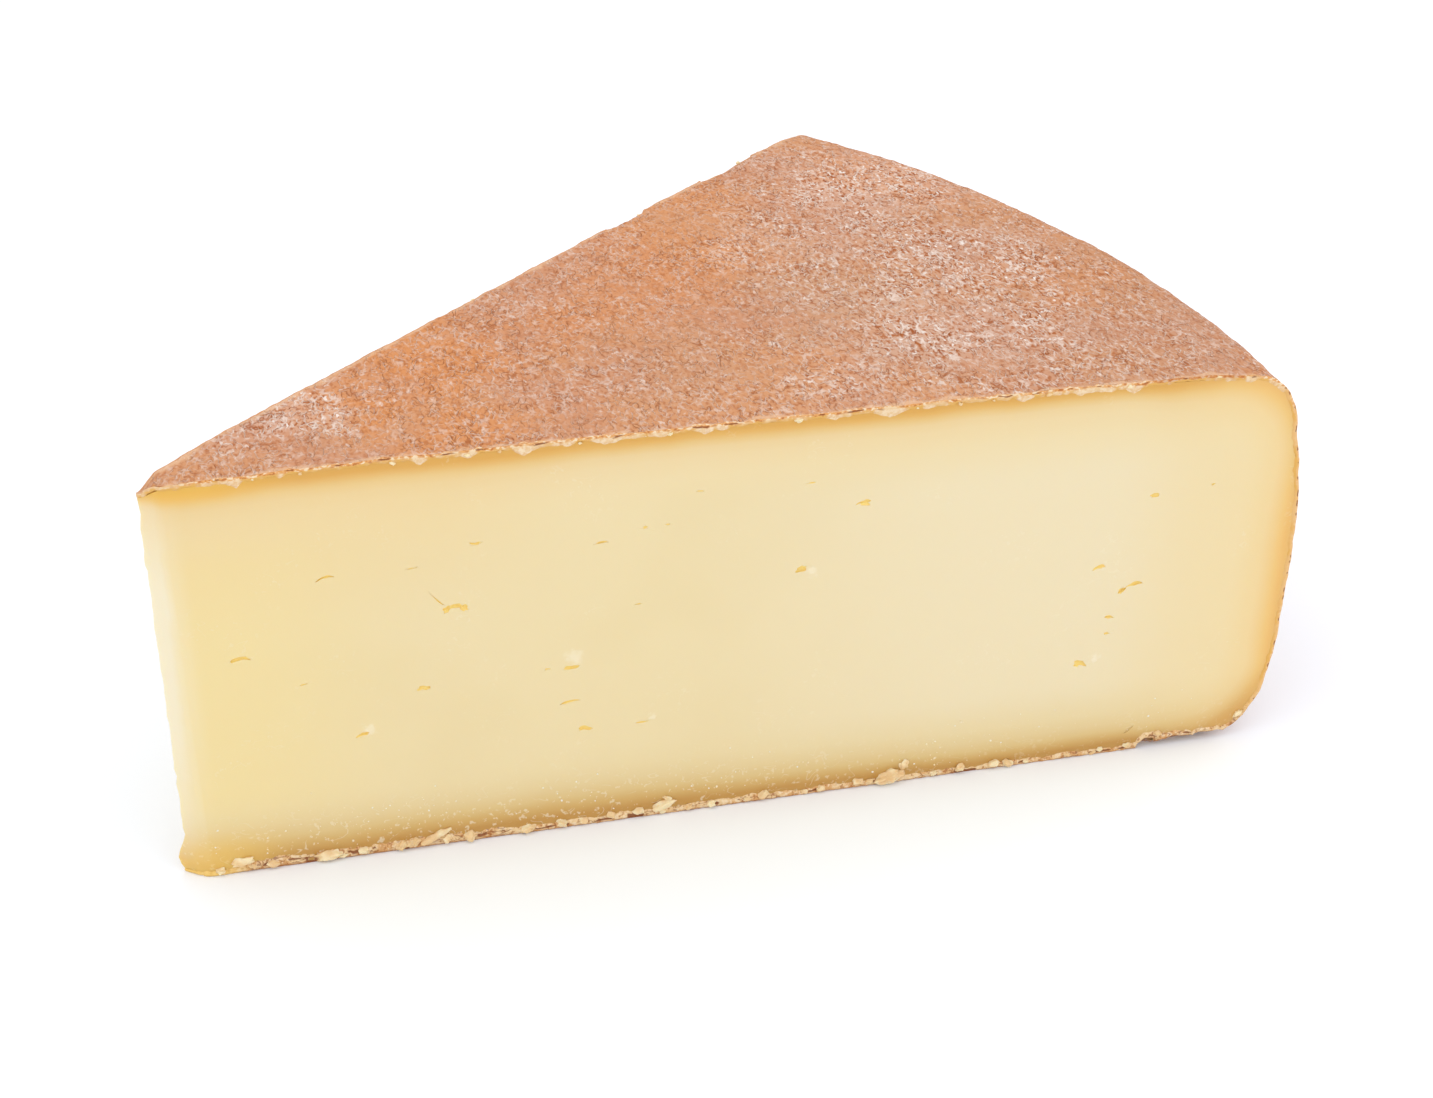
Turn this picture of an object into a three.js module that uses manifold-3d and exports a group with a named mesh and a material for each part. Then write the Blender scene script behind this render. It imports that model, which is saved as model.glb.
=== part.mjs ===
// A wedge cut from a washed-rind alpine cheese wheel, lying on the flat side that the wheel matured on.
// The wheel is turned as one solid with an uneven rind. A knife's plan outline then cuts the wedge out of it,
// small eyes open in both cut faces, the rind is torn here and there, and crumbs of it stay on the cut edges.
// Millimetres, +Z up. While it is built, the wheel's axis is Z and the front cut face lies in the plane
// Y = 0, with the tip at X = 0 and the heel at +X. At the end the origin goes under the wedge's middle.
import * as THREE from "three";
import { ImprovedNoise } from "three/addons/math/ImprovedNoise.js";
import { mergeVertices } from "three/addons/utils/BufferGeometryUtils.js";
import Module from "manifold-3d";

const wasm = await Module();
wasm.setup();

// ---- Driving dimensions ----
const wheelHeight = 75.3;
const wheelRadius = 193.7; // at the widest level of the heel
const cutAngle = THREE.MathUtils.degToRad(41.2);
const apexX = -2.6; // the two cuts would meet here, just past the wheel's centre
const tipBevelX = 3.6; // the front cut ends here, in a narrow bevel across the tip
const tipBackX = 0.2; // the bevel meets the back cut here
const tipRound = 1.2; // rounding where the bevel meets the front cut

// The heel's outline: how far each point lies in from the wheel's radius, and its level.
const heelSide = [
  [2.3, 8.5],
  [0.5, 18],
  [0, 30],
  [0.5, 43],
  [1.7, 57],
  [3.5, 66],
];
const foot = { inset: 15.7, low: [9.2, 0], high: [3.9, 3.2] }; // rounding from the base to the heel
const shoulder = { inset: 17.7, low: [4.3, 70.5], high: [8.2, 74.2] }; // rounding from the heel to the top
const crown = { from: 140, fall: 0.8 }; // the upper face falls away a little towards the shoulder
const topRise = 1 / 128; // the upper face stands a little higher towards the back corner
const tipDroop = { depth: 2.2, reach: 18 }; // the soft tip sags
const tipFoot = { spread: 1.7, level: 1.5, reach: 2.5 }; // and its foot spreads on the board

const gridStep = 6.4; // spacing of the surface grid on the cut faces and along the upper face
const turnStep = THREE.MathUtils.degToRad(1.8);
const pastWheel = 20; // the knife's outline reaches this far past the rind

const rindWave = { coarse: 0.38, fine: 0.16, coarsePitch: 30, finePitch: 9 };
const heelWave = { coarse: 0.55, fine: 0.25, coarsePitch: 24, finePitch: 7 };
const cutWave = { coarse: 0.16, fine: 0.06, coarsePitch: 34, finePitch: 11 };
const tipWave = 0.3;

const simplifyTo = 0.04; // slivers smaller than this, left by the cuts, are merged
const crumbFloor = 0.06; // no crumb reaches lower, so the base stays flat
const mergeWithin = 1e-4;

// ---- Small tools ----
const noise = new ImprovedNoise();
const { smoothstep, seededRandom, lerp, degToRad } = THREE.MathUtils;

// A smooth unevenness, in millimetres, with a coarse and a fine part.
function unevenness(wave, u, v, layer) {
  return (
    wave.coarse * noise.noise(u / wave.coarsePitch, v / wave.coarsePitch, layer) +
    wave.fine * noise.noise(u / wave.finePitch, v / wave.finePitch, layer + 7.3)
  );
}

// A closed three.js geometry as a solid that can be cut and joined.
function solidFrom(geometry) {
  const bare = geometry.clone();
  bare.deleteAttribute("normal");
  bare.deleteAttribute("uv");
  const merged = mergeVertices(bare, mergeWithin);
  return new wasm.Manifold(
    new wasm.Mesh({
      numProp: 3,
      vertProperties: new Float32Array(merged.attributes.position.array),
      triVerts: new Uint32Array(merged.index.array),
    }),
  );
}

// A solid as a geometry for a THREE.Mesh.
function geometryFrom(solid) {
  const mesh = solid.getMesh();
  const geometry = new THREE.BufferGeometry();
  geometry.setAttribute("position", new THREE.BufferAttribute(mesh.vertProperties, mesh.numProp));
  geometry.setIndex(new THREE.BufferAttribute(mesh.triVerts, 1));
  geometry.computeVertexNormals();
  return geometry;
}

// Moves every vertex of a geometry by a function that changes it in place.
function reshape(geometry, change) {
  const place = geometry.attributes.position;
  const point = new THREE.Vector3();
  for (let i = 0; i < place.count; i++) {
    point.fromBufferAttribute(place, i);
    change(point);
    place.setXYZ(i, point.x, point.y, point.z);
  }
  return geometry;
}

// ---- The wheel ----
// A point of the wheel's section, by how far it lies in from the wheel's radius and its level.
function sectionPoint([inset, level]) {
  return new THREE.Vector2(wheelRadius - inset, level);
}

// The wheel's section from the middle of its base, out round the heel and back to the middle of its top.
function wheelSection() {
  const side = new THREE.SplineCurve(heelSide.map(sectionPoint));
  const baseEdge = sectionPoint([foot.inset, 0]);
  const crownEdge = sectionPoint([shoulder.inset, wheelHeight - crown.fall]);
  const crownStart = new THREE.Vector2(crown.from, wheelHeight);
  const topMiddle = new THREE.Vector2(0, wheelHeight);
  const lowRound = [sectionPoint(foot.low), sectionPoint(foot.high), side.points[0]];
  const highRound = [side.points.at(-1), sectionPoint(shoulder.low), sectionPoint(shoulder.high)];
  const topSteps = Math.round(crown.from / gridStep);
  return [
    new THREE.Vector2(0, 0),
    ...new THREE.CubicBezierCurve(baseEdge, ...lowRound).getPoints(4),
    ...side.getPoints(10).slice(1),
    ...new THREE.CubicBezierCurve(...highRound, crownEdge).getPoints(6).slice(1),
    ...new THREE.LineCurve(crownEdge, crownStart).getPoints(6).slice(1),
    ...new THREE.LineCurve(crownStart, topMiddle).getPoints(topSteps).slice(1),
  ];
}

// How far the upper face stands above or below the wheel's height.
function topShift(x, y) {
  const droop = tipDroop.depth * Math.exp(-Math.hypot(x, y) / tipDroop.reach);
  return unevenness(rindWave, x, y, 0.4) + topRise * y - droop;
}

// Gives the smooth wheel its uneven rind. The base stays flat.
function ageRind(point) {
  const radius = Math.hypot(point.x, point.y);
  const onTop = smoothstep(point.z, wheelHeight - 25, wheelHeight - 2);
  const onHeel = smoothstep(radius, wheelRadius - 14, wheelRadius - 5) * smoothstep(point.z, 0.5, 7);
  const turn = Math.atan2(point.y, point.x) * wheelRadius;
  const swell = onHeel * unevenness(heelWave, turn, point.z, 3.1);
  if (radius > 1) point.multiply(new THREE.Vector3(1 + swell / radius, 1 + swell / radius, 1));
  point.z += onTop * topShift(point.x, point.y);
}

function wheel() {
  const turned = new THREE.LatheGeometry(wheelSection(), Math.round((2 * Math.PI) / turnStep));
  turned.rotateX(Math.PI / 2);
  return solidFrom(reshape(turned, ageRind));
}

// ---- The knife's cuts ----
const backAlong = new THREE.Vector2(Math.cos(cutAngle), Math.sin(cutAngle));
const backOut = new THREE.Vector2(-Math.sin(cutAngle), Math.cos(cutAngle));

// A point on the back cut, at a distance from where the two cuts would meet.
function onBackCut(distance) {
  return new THREE.Vector2(apexX + distance * backAlong.x, distance * backAlong.y);
}

// The plan outline of the wedge, with points along both cuts so that they can be uneven.
function planOutline() {
  const reach = wheelRadius + pastWheel;
  const backTipDistance = (tipBackX - apexX) / backAlong.x;
  const steps = Math.round(reach / gridStep);
  const plan = new THREE.Shape();
  plan.moveTo(reach, 0);
  for (let i = 1; i <= steps; i++) plan.lineTo(lerp(reach, tipBevelX + tipRound, i / steps), 0);
  const tipBack = onBackCut(backTipDistance);
  const bevelStart = new THREE.Vector2(tipBevelX, 0).lerp(tipBack, 0.35);
  plan.quadraticCurveTo(tipBevelX, 0, bevelStart.x, bevelStart.y);
  plan.lineTo(tipBack.x, tipBack.y);
  for (let i = 1; i <= steps; i++) {
    const p = onBackCut(lerp(backTipDistance, reach, i / steps));
    plan.lineTo(p.x, p.y);
  }
  plan.lineTo(reach, onBackCut(reach).y);
  return plan;
}

// The blade leaves shallow waves, and the tip's edge is uneven and spreads at its foot.
function waverCut(point) {
  const fromBack = (point.x - apexX) * backOut.x + point.y * backOut.y;
  if (Math.abs(point.y) < mergeWithin) point.y += unevenness(cutWave, point.x, point.z, 11.7);
  else if (Math.abs(fromBack) < mergeWithin * 10) {
    const along = (point.x - apexX) * backAlong.x + point.y * backAlong.y;
    const shift = unevenness(cutWave, along, point.z, 23.9);
    point.x += backOut.x * shift;
    point.y += backOut.y * shift;
  }
  const atTip = 1 - smoothstep(point.x, 1, 7);
  const spread = tipFoot.spread * Math.exp(-(((point.z - tipFoot.level) / tipFoot.reach) ** 2));
  point.x -= atTip * (spread + tipWave * noise.noise(point.z / 5, 4.4, 9.1));
}

function knifeOutline() {
  const height = wheelHeight + 4;
  const cut = new THREE.ExtrudeGeometry(planOutline(), {
    depth: height,
    steps: Math.round(height / gridStep),
    curveSegments: 3,
    bevelEnabled: false,
  });
  cut.translate(0, 0, -1);
  return solidFrom(reshape(cut, waverCut));
}

// ---- Where things sit on the wedge ----
// Each cut face gives a point at a distance from the tip and a height, with the way out of the cheese there.
const cutFaces = {
  front: {
    at: (along, z) => new THREE.Vector3(along, 0, z),
    out: new THREE.Vector3(0, -1, 0),
    turn: 0,
  },
  back: {
    at: (along, z) => new THREE.Vector3(...onBackCut(along), z),
    out: new THREE.Vector3(backOut.x, backOut.y, 0),
    turn: cutAngle,
  },
};

// A rough lump with few sides, about one millimetre in radius before it is scaled.
function lump(detail, roughness, seed) {
  const drift = seed * 0.37;
  return reshape(new THREE.IcosahedronGeometry(1, detail), (p) => {
    p.multiplyScalar(1 + roughness * noise.noise(p.x * 1.3 + drift, p.y * 1.3, p.z * 1.3 - drift));
  });
}

// A lump at a place, with a width along the face, a depth into it and a height, leaning by an angle.
function placedLump(face, place, size, lean, detail, roughness, seed) {
  const piece = lump(detail, roughness, seed);
  piece.scale(size.width / 2, size.depth, size.height / 2);
  piece.rotateY(-lean);
  piece.rotateZ(face.turn);
  piece.translate(place.x, place.y, place.z);
  return piece;
}

// ---- Eyes ----
// The larger eyes of the front cut: distance from the tip, height, width, opening and lean in degrees.
const frontEyes = [
  [46.8, 47.2, 4.6, 1.7, 4],
  [43.2, 50.4, 5.6, 0.5, -52],
  [27, 55.4, 3.4, 0.9, 8],
  [12.6, 42.1, 4.2, 1.0, 3],
  [41.1, 32.4, 2.8, 1.2, 6],
  [30.8, 24.8, 2.4, 1.1, 12],
  [50.6, 58.7, 2.6, 0.8, 0],
  [70.9, 56.2, 2.8, 0.8, 2],
  [64.7, 33.0, 5.8, 1.3, 5],
  [65.2, 26.0, 4.4, 0.9, 10],
  [67.6, 20.1, 3.8, 1.3, -4],
  [77.2, 20.0, 3.2, 0.8, 3],
  [104.4, 46.7, 2.6, 1.6, 18],
  [114.7, 58.0, 3.6, 1.3, -6],
  [105.4, 62.9, 2.6, 0.7, 2],
  [166.2, 53.2, 2.2, 1.1, 16],
  [157.7, 40.0, 3.0, 0.9, 8],
  [163.8, 35.4, 5.2, 1.4, 12],
  [160.8, 32.6, 2.6, 0.6, 62],
  [160.3, 29.4, 2.4, 0.9, -6],
  [155.7, 20.2, 3.6, 1.9, 14],
];
const eyeDepth = 1.3;
const backEyeCount = 17;
const backEyeMargin = { along: 16, z: 14 };

function eye(face, along, z, width, height, lean, seed) {
  const size = { width, height, depth: Math.min(eyeDepth, height) };
  return solidFrom(placedLump(face, face.at(along, z), size, degToRad(lean), 1, 0.55, seed));
}

function frontEyeSolids() {
  return frontEyes.map(([along, z, width, height, lean], i) =>
    eye(cutFaces.front, along, z, width, height, lean, i + 1),
  );
}

// The back cut has eyes of the same kinds, spread by rule with more of them in two loose groups.
function backEyeSolids() {
  const made = [];
  for (let i = 0; i < backEyeCount; i++) {
    const grouped = i % 3 === 0;
    const centre = i % 2 === 0 ? 58 : 128;
    const spread = grouped ? 16 : wheelRadius / 2 - backEyeMargin.along;
    const middle = grouped ? centre : wheelRadius / 2;
    const along = middle + spread * (2 * seededRandom(100 + i) - 1);
    const z = lerp(backEyeMargin.z, wheelHeight - backEyeMargin.z, seededRandom());
    const width = lerp(2.2, 5.2, seededRandom() ** 2);
    const height = width * lerp(0.22, 0.48, seededRandom());
    made.push(eye(cutFaces.back, along, z, width, height, lerp(-12, 16, seededRandom()), 40 + i));
  }
  return made;
}

// ---- Crumbs and tears along the cut edges ----
// The height of the upper edge of a cut face, at a distance from the tip.
function upperEdge(face, along) {
  const p = face.at(along, 0);
  return wheelHeight + topShift(p.x, p.y);
}

const edges = [
  { face: "front", upper: false, crumbs: 38, tears: 5, from: 4, to: 184, size: [0.9, 2], seed: 200 },
  { face: "front", upper: true, crumbs: 20, tears: 3, from: 9, to: 176, size: [0.6, 1.2], seed: 300 },
  { face: "back", upper: false, crumbs: 26, tears: 4, from: 8, to: 186, size: [0.9, 1.8], seed: 400 },
  { face: "back", upper: true, crumbs: 14, tears: 3, from: 10, to: 176, size: [0.6, 1.2], seed: 500 },
];

// Flattens the underside of a crumb that would reach below the base.
function keepOffBase(piece) {
  return reshape(piece, (point) => {
    point.z = Math.max(point.z, crumbFloor);
  });
}

// Crumbs sit half sunk in the rind's cut edge.
function edgeCrumbs(edge) {
  const face = cutFaces[edge.face];
  const made = [];
  for (let i = 0; i < edge.crumbs; i++) {
    const share = (i + seededRandom(edge.seed + i)) / edge.crumbs;
    const along = lerp(edge.from, edge.to, share);
    const width = lerp(edge.size[0], edge.size[1], seededRandom()) * 1.6;
    const size = { width, height: width * lerp(0.5, 0.9, seededRandom()), depth: width * 0.42 };
    const level = edge.upper ? upperEdge(face, along) - 0.6 : size.height * 0.4 + 0.5 * seededRandom();
    const place = face.at(along, level).addScaledVector(face.out, 0.1 * width * seededRandom());
    const lean = degToRad(lerp(-25, 25, seededRandom()));
    made.push(solidFrom(keepOffBase(placedLump(face, place, size, lean, 0, 0.7, edge.seed + i))));
  }
  return made;
}

// Short stretches where the knife tore a little of the rind away.
function edgeTears(edge) {
  const face = cutFaces[edge.face];
  const made = [];
  for (let i = 0; i < edge.tears; i++) {
    const along = lerp(edge.from + 6, edge.to - 6, (i + seededRandom(edge.seed + 60 + i)) / edge.tears);
    const size = { width: lerp(2.5, 6, seededRandom()), height: lerp(1.2, 2, seededRandom()), depth: 0.9 };
    const place = face.at(along, edge.upper ? upperEdge(face, along) + 0.1 : 0.1);
    made.push(solidFrom(placedLump(face, place, size, 0, 1, 0.5, edge.seed + 60 + i)));
  }
  return made;
}

// Three larger tears and one large crumb stand out from the rest.
const largeTears = [
  { face: "front", upper: false, along: 173, size: { width: 7, height: 3.8, depth: 1.6 } },
  { face: "back", upper: true, along: 125, size: { width: 16, height: 3.6, depth: 2.3 } },
  { face: "back", upper: true, along: 158, size: { width: 22, height: 2.4, depth: 1.2 } },
];
const largeCrumb = { along: 122, level: 1.9, lean: 14, size: { width: 4.6, height: 3.1, depth: 1.9 } };

function largeTearSolids() {
  return largeTears.map((tear, i) => {
    const face = cutFaces[tear.face];
    const place = face.at(tear.along, tear.upper ? upperEdge(face, tear.along) : 0);
    return solidFrom(placedLump(face, place, tear.size, 0, 1, 0.3, 600 + i));
  });
}

function largeCrumbSolid() {
  const { along, level, lean, size } = largeCrumb;
  const place = cutFaces.front.at(along, level);
  const piece = placedLump(cutFaces.front, place, size, degToRad(lean), 1, 0.5, 640);
  return solidFrom(keepOffBase(piece));
}

// ---- The wedge ----
// The body alone: a crumb cut loose is dropped, and a hollow that crumbs have closed is filled.
function largestBody(solid) {
  return solid.decompose().reduce((a, b) => (a.volume() > b.volume() ? a : b));
}

function wedge() {
  let body = wheel().intersect(knifeOutline());
  const crumbs = [...edges.flatMap(edgeCrumbs), largeCrumbSolid()];
  for (const crumb of crumbs) body = body.add(crumb);
  const eyes = [...frontEyeSolids(), ...backEyeSolids()];
  const tears = [...edges.flatMap(edgeTears), ...largeTearSolids()];
  for (const opening of [...eyes, ...tears]) body = body.subtract(opening);
  return largestBody(body.asOriginal().simplify(simplifyTo));
}

const paste = new THREE.MeshStandardMaterial({ color: 0xf0dba8, roughness: 0.5, metalness: 0 });
const wedgeMesh = new THREE.Mesh(geometryFrom(wedge()), paste);
wedgeMesh.name = "cheese_wedge";

// The origin goes under the middle of the wedge, at the level that it rests on.
wedgeMesh.geometry.computeBoundingBox();
const bounds = wedgeMesh.geometry.boundingBox;
const middle = bounds.getCenter(new THREE.Vector3());
wedgeMesh.position.set(-middle.x, -middle.y, -bounds.min.z);

const part = new THREE.Group();
part.add(wedgeMesh);

export default part;
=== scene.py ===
import math
import random

import bpy
from mathutils import Euler, Matrix, Vector, noise
from mathutils.bvhtree import BVHTree


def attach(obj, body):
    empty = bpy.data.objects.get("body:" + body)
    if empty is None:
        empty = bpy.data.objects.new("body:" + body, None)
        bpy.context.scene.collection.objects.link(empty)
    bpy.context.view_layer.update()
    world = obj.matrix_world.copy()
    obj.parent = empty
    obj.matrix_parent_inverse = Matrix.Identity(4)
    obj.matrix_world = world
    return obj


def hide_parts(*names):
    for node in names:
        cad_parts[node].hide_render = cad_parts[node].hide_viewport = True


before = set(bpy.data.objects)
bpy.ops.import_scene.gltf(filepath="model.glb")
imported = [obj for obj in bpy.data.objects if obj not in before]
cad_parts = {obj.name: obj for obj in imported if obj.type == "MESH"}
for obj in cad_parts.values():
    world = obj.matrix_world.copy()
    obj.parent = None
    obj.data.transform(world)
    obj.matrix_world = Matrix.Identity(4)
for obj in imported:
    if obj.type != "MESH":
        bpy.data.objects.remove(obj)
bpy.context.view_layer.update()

mm = 0.001
up = Vector((0, 0, 1))

# the whole cheese that the wedge was cut from, and how the knife went through it
wheel = {
    "middle": (-96.643 * mm, -63.446 * mm),  # where the wheel's middle stands, on the board
    "height": 75.3 * mm,
    "radius": 193.7 * mm,
    "cutAngle": math.radians(41.2),
    "cutsMeetAt": -2.6 * mm,  # the two cuts would meet here, just past the middle
    "tipFront": 3.6 * mm,  # the tip is blunt: the front cut ends here...
    "tipBack": 0.2 * mm,  # ...and the back cut ends here
    "tipRound": 0.22 * mm,  # the tip's front corner is not quite sharp
    "tipDroop": 1.3 * mm,
    "droopReach": 17 * mm,
    "cornerDroop": 2.0 * mm,  # and much more at the very tip
    "cornerReach": 3.8 * mm,
    "backRise": 1 / 128,  # the top stands a little higher towards the back corner
    "liftFrom": 50 * mm,  # the droop and the rise begin at this height...
    "liftTo": 73 * mm,  # ...and are whole from here up
    "footSpread": 1.5 * mm,  # the tip's foot spreads a little above the board
    "tipRagged": 0.3 * mm,
    "overcut": 3 * mm,  # the block is cut this much too large before its surface is roughened
    "swell": (22 * mm, 0.8 * mm),  # its broad swells: how far apart and how strong
}

frontOut = Vector((0, -1, 0))
cutsMeet = Vector((wheel["cutsMeetAt"], 0, 0))
backAlong = Vector((math.cos(wheel["cutAngle"]), math.sin(wheel["cutAngle"]), 0))
backOut = Vector((-math.sin(wheel["cutAngle"]), math.cos(wheel["cutAngle"]), 0))
tipLine = Vector((wheel["tipFront"], 0, 0))
tipWide = (wheel["tipBack"] - wheel["cutsMeetAt"]) * math.tan(wheel["cutAngle"])
tipEnd = Vector((wheel["tipBack"], tipWide, 0))
tipOut = (tipEnd - tipLine).cross(up).normalized() * -1

# each cut's plane: a point that it goes through, and the way out of the cheese
cuts = {
    "front": (Vector((0, 0, 0)), frontOut),
    "back": (cutsMeet, backOut),
    "tip": (tipLine, tipOut),
}

camera = {
    "from": (15.0 * mm, -302.0 * mm, 240.3 * mm),  # seen from the wheel's middle
    "turn": math.radians(-13.91),
    "tilt": math.radians(90 - 31.11),
    "roll": math.radians(0.755),
    "lens": 56.15,
}
light = {
    "sky": 1.08,
    "aim": (0, 0, 0.03),
    # each lamp: where it hangs, how wide it is and how strong
    "lamps": {
        "key light": ((-0.75, -0.35, 1.1), 1.1, 1.8),
        "fill light": ((0.9, -0.9, 0.9), 1.2, 1.5),
        "side light": ((1.2, 0.3, 0.7), 0.9, 2.6),
    },
    "paint": 0.875,  # how bright a paint is for the brightness that it has on screen in this light
}
board = {"size": 8, "colour": (0.903, 0.939, 1.0, 1), "roughness": 0.8, "shine": 0.2}


def setCamera():
    bpy.ops.object.camera_add()
    cam = bpy.context.object
    cam.name = "camera"
    cam.data.sensor_width = 36
    cam.data.lens = camera["lens"]
    cam.data.clip_start = 0.01
    turned = Euler((camera["tilt"], 0, camera["turn"])).to_matrix()
    turned = turned @ Matrix.Rotation(camera["roll"], 3, "Z")
    place = Vector(camera["from"]) + Vector((*wheel["middle"], 0))
    cam.matrix_world = Matrix.Translation(place) @ turned.to_4x4()
    bpy.context.scene.camera = cam
    print("camera set")


def setLight():
    scene = bpy.context.scene
    scene.view_settings.view_transform = "Standard"
    scene.view_settings.look = "None"
    world = bpy.data.worlds.new("white room")
    world.use_nodes = True
    sky = world.node_tree.nodes["Background"]
    sky.inputs["Color"].default_value = (1, 1, 1, 1)
    sky.inputs["Strength"].default_value = light["sky"]
    scene.world = world
    for name, (place, size, strength) in light["lamps"].items():
        bpy.ops.object.light_add(type="AREA", location=place)
        lamp = bpy.context.object
        lamp.name = name
        lamp.data.shape = "DISK"
        lamp.data.size = size
        lamp.data.energy = strength
        aim = Vector(light["aim"]) - Vector(place)
        lamp.rotation_euler = aim.to_track_quat("-Z", "Y").to_euler()
    print("lamps hung:", len(light["lamps"]))


def setBoard():
    bpy.ops.mesh.primitive_plane_add(size=board["size"])
    plate = bpy.context.object
    plate.name = "board"
    paint = bpy.data.materials.new("pale board")
    paint.use_nodes = True
    shader = paint.node_tree.nodes["Principled BSDF"]
    shader.inputs["Base Color"].default_value = board["colour"]
    shader.inputs["Roughness"].default_value = board["roughness"]
    shader.inputs["Specular IOR Level"].default_value = board["shine"]
    plate.data.materials.append(paint)
    print("board laid")


def putDown():
    if bpy.context.object and bpy.context.object.mode != "OBJECT":
        bpy.ops.object.mode_set(mode="OBJECT")
    bpy.ops.object.select_all(action="DESELECT")


def pickUp(*pieces):
    putDown()
    for piece in pieces:
        piece.select_set(True)
    bpy.context.view_layer.objects.active = pieces[0]


def edit(piece, action="SELECT"):
    pickUp(piece)
    bpy.ops.object.mode_set(mode="EDIT")
    bpy.ops.mesh.select_mode(type="VERT")
    bpy.ops.mesh.select_all(action=action)


def applyModifier(piece, kind, **settings):
    pickUp(piece)
    modifier = piece.modifiers.new(kind.lower(), kind)
    for key, value in settings.items():
        setattr(modifier, key, value)
    bpy.ops.object.modifier_apply(modifier=modifier.name)


def cutAway(piece, lump):
    applyModifier(piece, "BOOLEAN", operation="DIFFERENCE", object=lump, solver="MANIFOLD")


def drawSection(name, knots, fineness):
    # a smooth line through the knots, each one how far out and how high, in mm
    bpy.ops.curve.primitive_bezier_curve_add()
    line = bpy.context.object
    line.name = name
    spline = line.data.splines[0]
    spline.bezier_points.add(len(knots) - 2)
    spline.resolution_u = fineness
    for point, (out, high) in zip(spline.bezier_points, knots):
        point.co = (out * mm, 0, high * mm)
        point.handle_left_type = point.handle_right_type = "AUTO"
    pickUp(line)
    bpy.ops.object.convert(target="MESH")
    return bpy.context.object


def drawTo(piece, out, high):
    # one straight stroke from the section's last point
    edit(piece, "DESELECT")
    bpy.ops.object.mode_set(mode="OBJECT")
    last = piece.data.vertices[-1]
    last.select = True
    stroke = (out * mm - last.co.x, 0, high * mm - last.co.z)
    bpy.ops.object.mode_set(mode="EDIT")
    bpy.ops.mesh.extrude_region_move(TRANSFORM_OT_translate={"value": stroke})
    putDown()


def turnRound(piece, steps):
    # the section, which runs from axis to axis, becomes a closed round block
    applyModifier(
        piece, "SCREW", angle=math.tau, steps=steps, render_steps=steps,
        use_merge_vertices=True, merge_threshold=0.004 * mm,
    )
    edit(piece)
    bpy.ops.mesh.normals_make_consistent(inside=False)
    putDown()


knifeThin = 0.0005 * mm  # points nearer to a cut than this lie on it


def cutWith(piece, through, outward):
    # one stroke of the knife, which takes off all that is outside
    edit(piece)
    bpy.ops.mesh.bisect(
        plane_co=through, plane_no=outward, use_fill=True, clear_outer=True, threshold=knifeThin
    )
    putDown()


def cutWedge(piece, inside, rounded=True):
    for through, outward in cuts.values():
        cutWith(piece, through - outward * inside, outward)
    if rounded:
        for lean in (0.3, 0.65):
            outward = frontOut.lerp(tipOut, lean).normalized()
            cutWith(piece, tipLine - outward * (inside + wheel["tipRound"]), outward)


def score(piece, across, step, count):
    # evenly spaced strokes that only divide the faces, across one axis
    edit(piece)
    for i in range(1, count + 1):
        bpy.ops.mesh.select_all(action="SELECT")
        bpy.ops.mesh.bisect(
            plane_co=across * (step * i * mm), plane_no=across, threshold=knifeThin
        )
    putDown()


def smooth(share):
    share = min(max(share, 0), 1)
    return share * share * (3 - 2 * share)


def between(low, high, share):
    return low + (high - low) * share


def waver(size, *place):
    # an even wandering between about -1 and 1, over size mm
    return noise.noise(Vector(place) / (size * mm))


def nextShare(seed=None):
    # a small generator (mulberry32): an even spread from 0 to 1, the same after the same seed,
    # and the same as in the solid, so that the hidden cut gets the same eyes
    if seed is not None:
        nextShare.state = seed
    nextShare.state = (nextShare.state + 0x6D2B79F5) & 0xFFFFFFFF
    t = nextShare.state
    t = ((t ^ (t >> 15)) * (t | 1)) & 0xFFFFFFFF
    t ^= (t + (((t ^ (t >> 7)) * (t | 61)) & 0xFFFFFFFF)) & 0xFFFFFFFF
    return ((t ^ (t >> 14)) & 0xFFFFFFFF) / 4294967296


def settled(point):
    # the top rises towards the back and droops at the tip, which is ragged and has a spread foot
    x, y, z = point
    droop = wheel["tipDroop"] * math.exp(-math.hypot(x, y) / wheel["droopReach"])
    droop += wheel["cornerDroop"] * smooth(1 - x / wheel["cornerReach"])
    share = smooth((z - wheel["liftFrom"]) / (wheel["liftTo"] - wheel["liftFrom"]))
    lift = share * (wheel["backRise"] * y - droop)
    spread = wheel["footSpread"] * math.exp(-(((z / mm - 2.8) / 2.4) ** 2))
    ragged = wheel["tipRagged"] * waver(5, 0, 0, z) + wheel["tipRagged"] * waver(1.7, 0, 0.01, z)
    return Vector((x - (1 - smooth((x / mm - 1) / 6)) * (spread + ragged), y, z + lift))


def settle(piece):
    for vertex in piece.data.vertices:
        vertex.co = settled(vertex.co)


def onFront(along, high, proud=0.0):
    return Vector((along, -proud, high)) * mm


def onBack(along, high, proud=0.0):
    return cutsMeet + (backAlong * along + backOut * proud + Vector((0, 0, high))) * mm


def turnOf(onCut):
    return wheel["cutAngle"] if onCut is onBack else 0


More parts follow.
